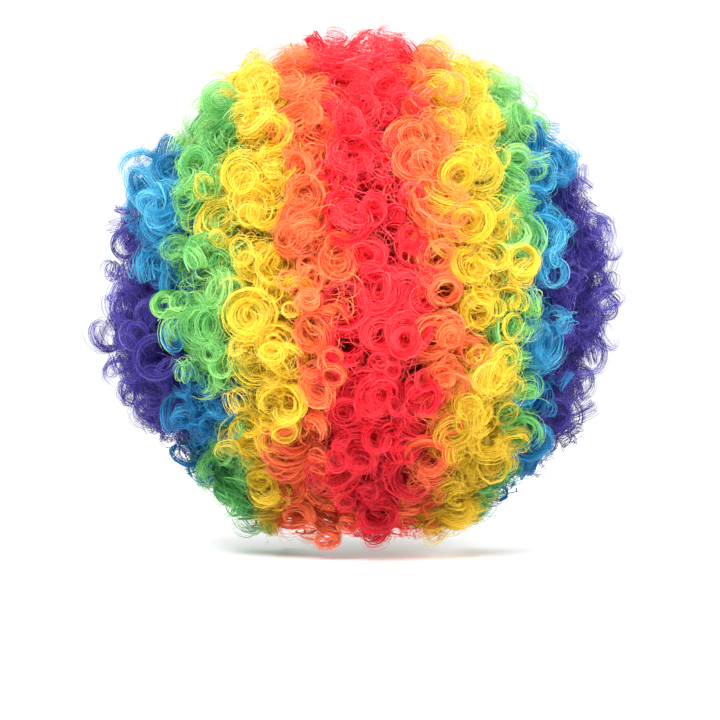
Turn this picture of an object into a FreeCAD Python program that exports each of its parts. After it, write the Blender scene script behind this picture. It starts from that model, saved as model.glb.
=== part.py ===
# Curly rainbow costume wig: a stretch-net cap with sewn hair wefts, rim bands,
# ear tabs and hook-and-loop nape adjusters, and eleven front-to-back hair sections.
#
# Frame (millimetres): +Z up, -Y to the wearer's face, +X to the wearer's left.
# The origin is the centre of the head opening, in the plane of the cap's rim.
import FreeCAD, Part
import math
import os

V = FreeCAD.Vector
os.makedirs("parts", exist_ok=True)
doc = FreeCAD.newDocument("costume_wig")

# ----------------------------------------------------------------- dimensions
dims = doc.addObject("Spreadsheet::Sheet", "dims")
cells = [
    # head form that the cap is cut for
    ("head_half_width", 77.0), ("head_half_depth", 97.0), ("head_half_height", 105.0), ("head_centre_z", 30.0),
    # rim plane: through the origin, tilted down towards the nape
    ("rim_tilt", 32.23), ("rim_band", 20.0),
    # layers, as offsets outward from the head form
    ("tape_in", 0.3), ("tape_out", 1.0), ("net_in", 1.1), ("net_out", 1.7), ("weft_in", 1.8), ("weft_out", 3.0), ("hair_in", 3.1),
    ("label_in", -0.5), ("label_out", 0.2), ("strap_in", -2.0), ("strap_out", -1.2),
    ("elastic_in", -0.6), ("elastic_out", 0.2),
    # outer form of the hair
    ("hair_half_width", 151.0), ("hair_half_depth", 155.0), ("hair_half_height", 148.0), ("hair_centre_y", 12.0), ("hair_centre_z", 47.0),
    ("hair_floor", -98.0), ("skirt_top_z", -60.0), ("skirt_top_half", 104.0), ("skirt_low_half", 69.0), ("skirt_depth", 39.0),
    # face opening and neck opening in the hair
    ("face_start", -25.0), ("face_half", 62.0), ("face_flare", 110.0), ("face_length", 145.0), ("face_centre_z", -10.0), ("face_top", 52.0),
    ("neck_half", 58.0), ("neck_centre_y", -4.0), ("neck_top", 5.0),
    # colour boundaries, as latitudes from the wearer's centre plane about the ear-to-ear axis
    ("lat_red", 8.0), ("lat_orange", 16.0), ("lat_yellow", 25.5), ("lat_green", 35.5), ("lat_blue", 44.0), ("lat_ear", 62.0), ("lat_gap", 0.2),
    ("cone_reach", 165.0),
    # tufts: each section is split around the ear-to-ear axis
    ("tuft_pitch", 30.0), ("tuft_angle", 29.0), ("ear_tuft_pitch", 60.0), ("ear_tuft_angle", 58.5),
    # weft tracks: half their angular width
    ("track_half", 1.2),
    # cross tapes
    ("tape_width", 8.0), ("tape_front_y", -52.0), ("tape_crown_y", -4.0), ("tape_back_y", 42.0),
    # ear tabs
    ("tab_start", -38.0), ("tab_width", 24.0), ("tab_bottom", -10.0), ("side_reach", 22.0),
    # nape adjuster
    ("loop_level", 13.5), ("loop_x", 40.0), ("loop_pitch", 12.0), ("loop_length", 3.0), ("loop_half", 4.0), ("loop_wall", 0.6),
    ("loop_rise", 2.4), ("hook_plate", 0.8), ("hook_width", 5.0), ("hook_tip", 4.4), ("hook_ring", 11.0), ("strap_width", 8.0),
    ("strap_end_x", 47.0), ("strap_anchor_x", 66.0), ("elastic_width", 7.0), ("label_half", 12.0), ("label_height", 26.0),
]
num = {}
for i, (alias, value) in enumerate(cells):
    cell = "B%d" % (i + 1)
    dims.set("A%d" % (i + 1), alias)
    dims.set(cell, str(value))
    dims.setAlias(cell, alias)
    num[alias] = value
doc.recompute()

parts = []          # (node name, object), in export order


def bind(obj, **expr):
    for prop, e in expr.items():
        obj.setExpression(prop.replace("__", "."), e)


def node(obj, name):
    obj.Label = name
    parts.append((name, obj))
    return obj


def ellipsoid(name, off):
    """The head form grown by the sheet's offset."""
    o = doc.addObject("Part::Ellipsoid", name)
    o.Angle1, o.Angle2, o.Angle3 = -90, 90, 360
    bind(o, Radius1="dims.head_half_height + dims.%s" % off, Radius2="dims.head_half_width + dims.%s" % off,
         Radius3="dims.head_half_depth + dims.%s" % off, Placement__Base__z="dims.head_centre_z")
    return o


def cut(name, a, b):
    o = doc.addObject("Part::Cut", name)
    o.Base, o.Tool = a, b
    return o


def common(name, a, b):
    o = doc.addObject("Part::Common", name)
    o.Base, o.Tool = a, b
    return o


def box(name, lo, hi, placement=None):
    o = doc.addObject("Part::Box", name)
    o.Length, o.Width, o.Height = hi[0] - lo[0], hi[1] - lo[1], hi[2] - lo[2]
    p = FreeCAD.Placement(V(*lo), FreeCAD.Rotation())
    o.Placement = placement.multiply(p) if placement else p
    return o


def group(name, objs):
    o = doc.addObject("Part::Compound", name)
    o.Links = objs
    return o


def mirror(name, src):
    """The right-hand piece, mirrored across the centre plane."""
    o = doc.addObject("Part::Mirroring", name)
    o.Source = src
    o.Normal = V(1, 0, 0)
    return o


def cone(name, lat):
    """Everything further towards the left ear than a latitude (an expression in degrees)."""
    o = doc.addObject("Part::Cone", name)
    o.Radius1 = 0
    o.Placement = FreeCAD.Placement(V(0, 0, num["head_centre_z"]), FreeCAD.Rotation(V(0, 1, 0), 90))
    bind(o, Height="dims.cone_reach", Radius2="dims.cone_reach * tan(90 deg - (%s) * 1 deg)" % lat,
         Placement__Base__z="dims.head_centre_z")
    return o


rim = FreeCAD.Placement(V(0, 0, 0), FreeCAD.Rotation(V(1, 0, 0), -num["rim_tilt"]))


def rim_slab(name, low, high):
    """Between two heights above the rim plane."""
    return box(name, (-200, -250, low), (200, 250, high), rim)


# ------------------------------------------------------------------ hair mass
hair_outer = doc.addObject("Part::Ellipsoid", "hair_outer")
hair_outer.Angle1, hair_outer.Angle2, hair_outer.Angle3 = -90, 90, 360
bind(hair_outer, Radius1="dims.hair_half_height", Radius2="dims.hair_half_width", Radius3="dims.hair_half_depth",
     Placement__Base__y="dims.hair_centre_y", Placement__Base__z="dims.hair_centre_z")
# the hair hangs fuller round the neck than the ellipsoid alone
skirt = doc.addObject("Part::Cone", "skirt")
skirt.Placement = FreeCAD.Placement(V(0, num["hair_centre_y"], num["skirt_top_z"]), FreeCAD.Rotation(V(1, 0, 0), 180))
bind(skirt, Radius1="dims.skirt_top_half", Radius2="dims.skirt_low_half", Height="dims.skirt_depth",
     Placement__Base__y="dims.hair_centre_y", Placement__Base__z="dims.skirt_top_z")
hair_full = doc.addObject("Part::Fuse", "hair_full")
hair_full.Base, hair_full.Tool = hair_outer, skirt
hair_a = cut("hair_a", hair_full, ellipsoid("hair_inner", "hair_in"))

# face opening: a flaring round mouth, flat under the forehead line, open downwards
face_cone = doc.addObject("Part::Cone", "face_cone")
face_cone.Placement = FreeCAD.Placement(V(0, num["face_start"], num["face_centre_z"]), FreeCAD.Rotation(V(1, 0, 0), 90))
bind(face_cone, Radius1="dims.face_half", Radius2="dims.face_flare", Height="dims.face_length",
     Placement__Base__y="dims.face_start", Placement__Base__z="dims.face_centre_z")
face_round = common("face_round", face_cone, box("face_limit", (-200, -300, -300), (200, 100, num["face_top"])))
face_low = doc.addObject("Part::Wedge", "face_low")
bind(face_low, Xmin="-dims.face_flare", Xmax="dims.face_flare", X2min="-dims.face_half", X2max="dims.face_half",
     Ymin="dims.face_start - dims.face_length", Ymax="dims.face_start", Zmax="dims.face_centre_z", Z2max="dims.face_centre_z")
face_low.Zmin, face_low.Z2min = -200, -200
neck = doc.addObject("Part::Cylinder", "neck")
neck.Placement = FreeCAD.Placement(V(0, num["neck_centre_y"], -200), FreeCAD.Rotation())
bind(neck, Radius="dims.neck_half", Height="200 + dims.neck_top", Placement__Base__y="dims.neck_centre_y")
# between the neck opening and the face opening nothing stands in front of the jaw
jaw = box("jaw", (-num["face_half"], num["face_start"] - 1, -200), (num["face_half"], num["neck_centre_y"], num["face_centre_z"]))
floor = box("floor", (-250, -250, -300), (250, 250, num["hair_floor"]))
bind(floor, Height="300 + dims.hair_floor")
hair_b = cut("hair_b", cut("hair_b1", hair_a, face_round), face_low)
hair_c = cut("hair_c", cut("hair_c1", hair_b, neck), jaw)
hair_mass = cut("hair_mass", hair_c, floor)


def tuft_cutters(name, pitch, angle):
    """Orange-slice cutters about the ear-to-ear axis, with a small gap between neighbours."""
    out = []
    step = num[pitch]
    for k in range(int(round(360 / step))):
        c = doc.addObject("Part::Cylinder", "%s_%d" % (name, k))
        c.Radius, c.Height = 400, 700
        c.Placement = FreeCAD.Placement(V(-350, 0, num["head_centre_z"]), FreeCAD.Rotation(V(0, 1, 0), 90).multiply(FreeCAD.Rotation(V(0, 0, 1), step * k)))
        bind(c, Angle="dims.%s" % angle, Placement__Base__z="dims.head_centre_z")
        out.append(c)
    return group(name, out)


slices = tuft_cutters("slices", "tuft_pitch", "tuft_angle")
ear_slices = tuft_cutters("ear_slices", "ear_tuft_pitch", "ear_tuft_angle")

bounds = ["lat_red", "lat_orange", "lat_yellow", "lat_green", "lat_blue", "lat_ear"]
outer_cones = {b: cone("from_" + b, "dims.%s + dims.lat_gap" % b) for b in bounds}
inner_cones = {b: cone("to_" + b, "dims.%s - dims.lat_gap" % b) for b in bounds}

red = cut("red_ring", cut("red_left_off", hair_mass, inner_cones["lat_red"]), mirror("to_lat_red_right", inner_cones["lat_red"]))
node(common("hair_red_centre", red, slices), "hair_red_centre")
colours = [("orange", "lat_red", "lat_orange"), ("yellow", "lat_orange", "lat_yellow"), ("green", "lat_yellow", "lat_green"), ("blue", "lat_green", "lat_blue")]
for colour, start, stop in colours:
    ring = cut(colour + "_ring", common(colour + "_wide", hair_mass, outer_cones[start]), inner_cones[stop])
    left = node(common("hair_%s_left" % colour, ring, slices), "hair_%s_left" % colour)
    node(mirror("hair_%s_right" % colour, left), "hair_%s_right" % colour)
purple_wide = common("purple_wide", hair_mass, outer_cones["lat_blue"])
purple_side = common("purple_side", cut("purple_ring", purple_wide, inner_cones["lat_ear"]), slices)
purple_ear = common("purple_ear", common("purple_cap", hair_mass, outer_cones["lat_ear"]), ear_slices)
left = node(group("hair_purple_left", [purple_side, purple_ear]), "hair_purple_left")
node(mirror("hair_purple_right", left), "hair_purple_right")

# ----------------------------------------------------------------- weft tracks
weft_shell = cut("weft_shell", cut("weft_full", ellipsoid("weft_o", "weft_out"), ellipsoid("weft_i", "weft_in")), rim_slab("weft_under", -300, 0.5))


def track(name, lat):
    """A narrow strip that runs front to back at one latitude."""
    return cut(name, cone(name + "_a", "%s - dims.track_half" % lat), cone(name + "_b", "%s + dims.track_half" % lat))


mid = cut("track_mid", cut("track_mid_a", box("track_block", (-5, -200, -200), (5, 200, 250)), cone("track_mid_l", "dims.track_half")),
          mirror("track_mid_r", cone("track_mid_l2", "dims.track_half")))
t5 = track("track_red_l", "5.3")
node(common("weft_red", weft_shell, group("tracks_red", [mid, t5, mirror("track_red_r", t5)])), "weft_red")
tracks = {"orange": (12.0,), "yellow": (18.6, 23.2), "green": (28.2, 33.0), "blue": (39.8,), "purple": (47.0, 54.5, 62.5, 71.5)}
for colour, lats in tracks.items():
    tools = [track("track_%s_%d" % (colour, k), "%.1f" % lat) for k, lat in enumerate(lats)]
    left = node(common("weft_%s_left" % colour, weft_shell, group("tracks_" + colour, tools)), "weft_%s_left" % colour)
    node(mirror("weft_%s_right" % colour, left), "weft_%s_right" % colour)

# ------------------------------------------------------------------ cap's net
net_shell = cut("net_shell", ellipsoid("net_o", "net_out"), ellipsoid("net_i", "net_in"))
node(cut("crown_net", net_shell, rim_slab("net_under", -300, 0.0)), "crown_net")

# ------------------------------------------------- rim: bands, tabs and tapes
tape_shell = cut("tape_shell", ellipsoid("tape_o", "tape_out"), ellipsoid("tape_i", "tape_in"))
rim_zone = rim_slab("rim_zone", 0.0, num["rim_band"])
bind(rim_zone, Height="dims.rim_band")
rim_ring = common("rim_ring", tape_shell, rim_zone)
front_zone = box("front_zone", (-200, -200, -200), (200, -num["side_reach"] - 0.1, 200))
node(common("front_band", rim_ring, front_zone), "front_band")
nape_zone = box("nape_zone", (-200, num["side_reach"] + 0.1, -200), (200, 200, 200))
node(common("nape_band", rim_ring, nape_zone), "nape_band")

# ear tab: the side of the rim, with a rounded tongue down in front of the ear
tab_block = box("tab_block", (5, num["tab_start"], num["tab_bottom"]), (150, num["tab_start"] + num["tab_width"], 60))
bind(tab_block, Width="dims.tab_width", Placement__Base__y="dims.tab_start")
tab_round = doc.addObject("Part::Cylinder", "tab_round")
tab_round.Placement = FreeCAD.Placement(V(5, num["tab_start"] + num["tab_width"] / 2, num["tab_bottom"]), FreeCAD.Rotation(V(0, 1, 0), 90))
tab_round.Height = 145
bind(tab_round, Radius="dims.tab_width / 2", Placement__Base__y="dims.tab_start + dims.tab_width / 2", Placement__Base__z="dims.tab_bottom")
side_zone = common("side_zone", rim_slab("side_slab", 0.0, num["rim_band"]), box("side_limits", (5, -num["side_reach"] + 0.1, -200), (150, num["side_reach"] - 0.1, 200)))
tongue = doc.addObject("Part::MultiFuse", "tongue")
tongue.Shapes = [tab_block, tab_round]
tongue_low = common("tongue_low", tongue, rim_slab("tongue_slab", -200, -0.1))
side_part = common("side_part", tape_shell, side_zone)
tongue_part = common("tongue_part", tape_shell, tongue_low)
tongue_join = common("tongue_join", tape_shell, common("join_zone", rim_slab("join_slab", -0.3, 0.2), box("join_limits", (5, -num["side_reach"] + 0.1, -200), (150, num["tab_start"] + num["tab_width"] - 0.1, 200))))
tab = doc.addObject("Part::MultiFuse", "ear_tab_left")
tab.Shapes = [side_part, tongue_part, tongue_join]
left = node(tab, "ear_tab_left")
node(mirror("ear_tab_right", left), "ear_tab_right")

# cross tapes, ear to ear inside the net, above the rim bands
above = rim_slab("tape_zone", num["rim_band"] + 0.2, 400)
cap_tapes = common("cap_tapes", tape_shell, above)
for place in ("front", "crown", "back"):
    y = num["tape_%s_y" % place]
    b = box("tape_box_" + place, (-200, y, -200), (200, y + num["tape_width"], 300))
    bind(b, Width="dims.tape_width", Placement__Base__y="dims.tape_%s_y" % place)
    node(common("cross_tape_" + place, cap_tapes, b), "cross_tape_" + place)

# gathered elastic in the nape band's lower edge
elastic_shell = cut("elastic_shell", ellipsoid("elastic_o", "elastic_out"), ellipsoid("elastic_i", "elastic_in"))
elastic_zone = common("elastic_zone", rim_slab("elastic_slab", 0.5, 0.5 + num["elastic_width"]), box("elastic_limits", (-200, 30, -200), (200, 200, 200)))
node(common("nape_elastic", elastic_shell, elastic_zone), "nape_elastic")

# blank satin label at the centre of the nape, above the band
label_shell = cut("label_shell", ellipsoid("label_o", "label_out"), ellipsoid("label_i", "label_in"))
label_zone = box("label_zone", (-num["label_half"], 10, num["rim_band"] + 0.4), (num["label_half"], 200, num["rim_band"] + 0.4 + num["label_height"]), rim)
node(common("care_label", label_shell, label_zone), "care_label")

# ------------------------------------------------------------- nape adjusters
# The adjuster runs along the curve at one height above the rim plane on the
# inside of the nape band. Local frames: x along the band towards the ear,
# z into the head, y across the band.
tilt = math.radians(num["rim_tilt"])
rim_up = V(0, math.sin(tilt), math.cos(tilt))
semi = (num["head_half_width"] + num["tape_in"], num["head_half_depth"] + num["tape_in"], num["head_half_height"] + num["tape_in"])
centre = V(0, 0, num["head_centre_z"])


def on_band(x, level):
    """The point on the band's inner face at a sideways place and a height above the rim plane."""
    def point(y):
        z = (level - y * rim_up.y) / rim_up.z
        return V(x, y, z)

    def f(y):
        p = point(y) - centre
        return (p.x / semi[0]) ** 2 + (p.y / semi[1]) ** 2 + (p.z / semi[2]) ** 2 - 1
    lo, hi = 0.0, 140.0
    for _ in range(60):
        m = (lo + hi) / 2
        if f(m) > 0:
            hi = m
        else:
            lo = m
    return point((lo + hi) / 2)


def frame_at(x, level):
    p = on_band(x, level)
    q = p - centre
    n = V(q.x / semi[0] ** 2, q.y / semi[1] ** 2, q.z / semi[2] ** 2).normalize()
    t = n.cross(rim_up).normalize()
    if t.x < 0:
        t = t * -1
    inward = n * -1
    w = inward.cross(t).normalize()
    m = FreeCAD.Matrix(t.x, w.x, inward.x, p.x, t.y, w.y, inward.y, p.y, t.z, w.z, inward.z, p.z, 0, 0, 0, 1)
    return FreeCAD.Placement(m), t


def march(x, arc, level):
    """Move inboard along the curve by an arc length."""
    steps, cur = 200, x
    for _ in range(steps):
        _, t = frame_at(cur, level)
        cur -= t.x * arc / steps
    return cur


def local_box(name, place, x0, x1, y0, y1, z0, z1, **expr):
    o = doc.addObject("Part::Box", name)
    o.Length, o.Width, o.Height = x1 - x0, y1 - y0, z1 - z0
    o.Placement = place.multiply(FreeCAD.Placement(V(x0, y0, z0), FreeCAD.Rotation()))
    bind(o, **expr)
    return o


level = num["loop_level"]
hl, hw, rise = num["loop_length"] / 2, num["loop_half"], num["loop_rise"]
wall = num["loop_wall"]
loops = []
for k in range(3):
    place, _ = frame_at(march(num["loop_x"], k * num["loop_pitch"], level) if k else num["loop_x"], level)
    arch = local_box("loop_arch_%d" % k, place, -hl, hl, -hw - wall, hw + wall, 0.3, 0.3 + rise + wall,
                     Length="dims.loop_length", Width="2 * dims.loop_half + 2 * dims.loop_wall", Height="dims.loop_rise + dims.loop_wall")
    tunnel = local_box("loop_tunnel_%d" % k, place, -hl - 1, hl + 1, -hw, hw, 0.2, 0.3 + rise,
                       Length="dims.loop_length + 2", Width="2 * dims.loop_half", Height="dims.loop_rise + 0.1")
    foot = local_box("loop_foot_%d" % k, place, -hl, hl, -hw - wall, hw + wall, 0.3, 0.3 + 0.5,
                     Length="dims.loop_length", Width="2 * dims.loop_half + 2 * dims.loop_wall")
    piece = doc.addObject("Part::MultiFuse", "loop_%d" % k)
    piece.Shapes = [cut("loop_open_%d" % k, arch, tunnel), foot]
    loops.append(piece)
left = node(group("hook_loops_left", loops), "hook_loops_left")
node(mirror("hook_loops_right", left), "hook_loops_right")

# hook: a tongue under the outermost loop, a bend, a plate over it and a strap ring
place, slide_dir = frame_at(num["loop_x"], level)
pl = num["hook_plate"]
half = num["hook_width"] / 2
z_tongue = 0.3 + 0.5 + 0.5
z_plate = 0.3 + rise + wall + 0.4
tongue_b = local_box("hook_tongue", place, -2.6, num["hook_tip"], -half, half, z_tongue, z_tongue + pl, Width="dims.hook_width", Height="dims.hook_plate")
bend_b = local_box("hook_bend", place, -2.6, -1.8, -half, half, z_tongue, z_plate + pl, Width="dims.hook_width")
plate_b = local_box("hook_top", place, -2.6, num["hook_ring"] - 5.0, -half, half, z_plate, z_plate + pl, Width="dims.hook_width", Height="dims.hook_plate")
ring_b = local_box("hook_ring_plate", place, num["hook_ring"] - 6.0, num["hook_ring"], -5.4, 5.4, z_plate, z_plate + pl, Height="dims.hook_plate")
slot_b = local_box("hook_slot", place, num["hook_ring"] - 4.5, num["hook_ring"] - 1.5, -4.3, 4.3, z_plate - 1, z_plate + pl + 1)
hook_solid = doc.addObject("Part::MultiFuse", "hook_solid")
hook_solid.Shapes = [tongue_b, bend_b, plate_b, ring_b]
left = node(cut("adjuster_hook_left", hook_solid, slot_b), "adjuster_hook_left")
node(mirror("adjuster_hook_right", left), "adjuster_hook_right")

# strap: flat elastic from the hook's ring to its anchor behind the ear
strap_shell = cut("strap_shell", ellipsoid("strap_o", "strap_out"), ellipsoid("strap_i", "strap_in"))
strap_zone = common("strap_zone", rim_slab("strap_slab", num["loop_level"] - num["strap_width"] / 2, num["loop_level"] + num["strap_width"] / 2),
                    box("strap_limits", (num["strap_end_x"], 10, -200), (num["strap_anchor_x"], 200, 200)))
left = node(common("adjuster_strap_left", strap_shell, strap_zone), "adjuster_strap_left")
node(mirror("adjuster_strap_right", left), "adjuster_strap_right")

# --------------------------------------------------------------------- checks
doc.recompute()
for o in doc.Objects:
    if "Invalid" in o.State or "Error" in o.State:
        raise RuntimeError("failed object: %s %s" % (o.Name, o.State))
for name, o in parts:
    s = o.Shape
    if s.isNull() or not s.isValid() or not s.Solids:
        raise RuntimeError("bad shape: " + name)
    if min(x.Volume for x in s.Solids) < 0.5:
        raise RuntimeError("sliver in " + name)
for name, o in parts:
    o.Shape.exportStep("parts/%s.step" % name)
    print("%-24s solids %2d  volume %10.1f mm3" % (name, len(o.Shape.Solids), o.Shape.Volume))
print("nodes", len(parts))
print("hook slide direction (left)", tuple(round(c, 6) for c in slide_dir), "at", tuple(round(c, 3) for c in place.Base))
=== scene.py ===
# Curly rainbow costume wig: locks of curled fibre on a stretch-net cap.
# Lengths in the generators are millimetres; MM turns them into metres.
import math

import bmesh
import bpy
import numpy as np
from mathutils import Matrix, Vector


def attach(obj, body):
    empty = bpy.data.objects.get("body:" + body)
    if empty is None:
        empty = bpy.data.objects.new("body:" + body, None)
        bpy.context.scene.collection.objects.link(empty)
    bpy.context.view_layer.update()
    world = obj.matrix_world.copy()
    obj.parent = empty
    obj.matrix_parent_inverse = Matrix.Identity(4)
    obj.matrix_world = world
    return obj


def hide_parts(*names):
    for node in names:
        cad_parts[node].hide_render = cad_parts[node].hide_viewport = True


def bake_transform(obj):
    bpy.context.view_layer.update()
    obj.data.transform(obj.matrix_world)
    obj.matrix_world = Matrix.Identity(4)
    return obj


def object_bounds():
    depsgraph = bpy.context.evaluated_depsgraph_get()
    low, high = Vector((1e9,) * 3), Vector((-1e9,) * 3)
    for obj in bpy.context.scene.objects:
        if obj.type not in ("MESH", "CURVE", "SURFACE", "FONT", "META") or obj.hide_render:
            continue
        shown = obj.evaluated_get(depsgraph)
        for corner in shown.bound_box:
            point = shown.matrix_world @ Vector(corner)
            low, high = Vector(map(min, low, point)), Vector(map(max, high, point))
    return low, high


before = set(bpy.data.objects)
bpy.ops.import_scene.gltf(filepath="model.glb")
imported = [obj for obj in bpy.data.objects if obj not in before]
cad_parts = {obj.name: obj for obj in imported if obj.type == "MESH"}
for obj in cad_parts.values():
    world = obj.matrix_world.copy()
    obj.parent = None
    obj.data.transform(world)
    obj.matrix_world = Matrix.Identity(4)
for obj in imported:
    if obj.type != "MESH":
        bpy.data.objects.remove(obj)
cad_lo, cad_hi = [list(c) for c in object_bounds()]
MM = 0.001
rng = np.random.default_rng(20)

# ------------------------------------------------------------------ geometry
HEAD_C = np.array([0.0, 0.0, 30.0])
HEAD_S = np.array([77.0, 97.0, 105.0])
HAIR_C = np.array([0.0, 12.0, 47.0])
HAIR_S = np.array([151.0, 155.0, 148.0])
TILT = math.radians(32.23)
RIM_UP = np.array([0.0, math.sin(TILT), math.cos(TILT)])


def unit(v):
    return v / np.maximum(np.linalg.norm(v, axis=-1, keepdims=True), 1e-9)


def cap_point(d, off):
    """Where rays from the head's centre along d meet the cap at an offset."""
    s = HEAD_S + np.asarray(off, float)[..., None]
    d = unit(d)
    return HEAD_C + d / np.sqrt(((d / s) ** 2).sum(-1, keepdims=True))


def cap_normal(p, off=0.0):
    return unit((p - HEAD_C) / (HEAD_S + off) ** 2)


def hair_normal(p):
    return unit((p - HAIR_C) / HAIR_S**2)


def smooth(a, b, x):
    t = np.clip((x - a) / (b - a), 0, 1)
    return t * t * (3 - 2 * t)


# ------------------------------------------------------------ colour stripes
# Stripe edges as latitudes from the wearer's centre plane, in degrees, against
# the angle round the ear-to-ear axis (0 back, 90 crown). The worn hair is
# combed a little to one side at the back.
TH = np.array([-70, -50, -37, -22, -9, 3, 15, 28, 37, 50, 62, 76, 100, 150])
# rows: red|orange, orange|yellow, yellow|green, green|blue, blue|purple
LEFT = np.array([
    [5, 2.5, 8.8, 6.9, 6, 2.4, 2.4, 7.3, 7.3, 6.1, 8, 12, 11, 9],
    [17, 18.3, 20.1, 14.3, 11.1, 12.8, 14, 13.6, 12.1, 15.3, 17.6, 19, 18.5, 17],
    [26, 26.6, 29.1, 25.4, 27, 26.2, 26.3, 29.3, 25.8, 24.8, 27.2, 33.5, 33, 27],
    [45.7, 39, 33.7, 30.4, 38.5, 42.7, 40.3, 37.6, 38.5, 39.7, 46, 48.5, 47, 38],
    [53.2, 46, 44, 42.4, 41.3, 46.6, 54.9, 54.9, 54.1, 58.5, 59.5, 60, 60, 48],
])
RIGHT = np.array([
    [9, 8.7, 12.2, 14.8, 11.9, 11.8, 12.5, 8, 8.8, 8.5, 7.7, 8.5, 9, 9],
    [20, 16.4, 17.5, 19.7, 20.8, 19.6, 17.5, 14.7, 14.2, 15.4, 15.6, 15.7, 17, 17],
    [34, 36.5, 35, 33.4, 28.6, 30.4, 31.2, 25.9, 25.1, 25.8, 26.4, 27.7, 30, 27],
    [40, 39.5, 38.5, 38.2, 35.1, 35.4, 37.3, 34.4, 34.9, 36, 38, 40, 42, 38],
    [49, 49, 46.6, 48.2, 46.8, 41.1, 41.3, 46.4, 47, 50, 53, 55, 56, 48],
])
COLOURS = ["red", "orange", "yellow", "green", "blue", "purple"]


def stripe(p, jitter):
    """(colour index, side) of each point."""
    q = p - HEAD_C
    lat = np.degrees(np.arctan2(q[:, 0], np.hypot(q[:, 1], q[:, 2]))) + jitter
    th = np.degrees(np.arctan2(q[:, 2], q[:, 1]))
    th = np.where(th < -120, th + 360, th)
    out = np.zeros(len(p), int)
    for k in range(5):
        left = np.interp(th, TH, LEFT[k])
        right = np.interp(th, TH, RIGHT[k])
        out += np.where(lat > 0, lat > left, -lat > right)
    side = np.where(out == 0, 0, np.where(lat > 0, 1, -1))
    return out, side


# --------------------------------------------------------------------- locks
# The outline from behind isn't a clean oval: how far it dips in, in mm, every
# 10 degrees anticlockwise from the wearer's right.
DIPS = np.array([5, 4, 11, 6.2, 10, 2, 0, 5.5, 4, 1, 4.8, 4, 5.8, 3.5, 17.5, 3.2, 3.5, 7, 9.8, 2, 0, 1.5, 8, 3.8, 8.8, 7, 6, 0, 0, 0, 10, 5.5, 3.8, 5, 15.8, 9])


def dip(p, nrm):
    a = np.degrees(np.arctan2(p[:, 2] - 49.8, -p[:, 0] - 1.0)) % 360
    return np.interp(a, np.arange(0, 361, 10), np.append(DIPS, DIPS[0])) * smooth(0.9, 0.4, np.abs(nrm[:, 1]))


def in_opening(p, grow=0.0):
    """Inside the face, jaw or neck opening."""
    x, y, z = p[:, 0], p[:, 1], p[:, 2]
    r_face = 62 + grow + np.maximum(-25 - y, 0) / 145 * 48
    face = (y < -25 + grow * 0.3) & (z < 52 + grow * 0.4) & ((np.hypot(x, z + 10) < r_face) | ((z < -10) & (np.abs(x) < r_face)))
    jaw = (y < 0) & (z < -10) & (np.abs(x) < 62 + grow)
    neck = (np.hypot(x, y + 4) < 58 + grow) & (z < 5)
    return face | jaw | neck


def lock_targets(spacing):
    n = int(4 * math.pi * 151.3**2 / (0.866 * spacing**2))
    k = np.arange(n) + 0.5
    phi, z = k * math.pi * (3 - math.sqrt(5)), 1 - 2 * k / n
    d = np.stack([np.sqrt(1 - z * z) * np.cos(phi), z, np.sqrt(1 - z * z) * np.sin(phi)], -1)
    d = unit(d + rng.normal(0, 0.30 * spacing / 151, d.shape))
    return HAIR_C + d * HAIR_S, d


def roots_of(q):
    r = cap_point(q - HEAD_C, 3.0)
    for _ in range(6):
        low = np.maximum(5.0 - (r @ RIM_UP), 0)[:, None]
        r = cap_point(r + RIM_UP * low - HEAD_C, 3.0)
    return r


def bezier(p0, p1, p2, p3, s):
    """Points and tangents, (n, m, 3), of n cubics at s (n, m)."""
    s = s[..., None]
    a, b, c, d = p0[:, None], p1[:, None], p2[:, None], p3[:, None]
    u = 1 - s
    p = u**3 * a + 3 * u * u * s * b + 3 * u * s * s * c + s**3 * d
    t = 3 * u * u * (b - a) + 6 * u * s * (c - b) + 3 * s * s * (d - c)
    return p, unit(t)


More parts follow.
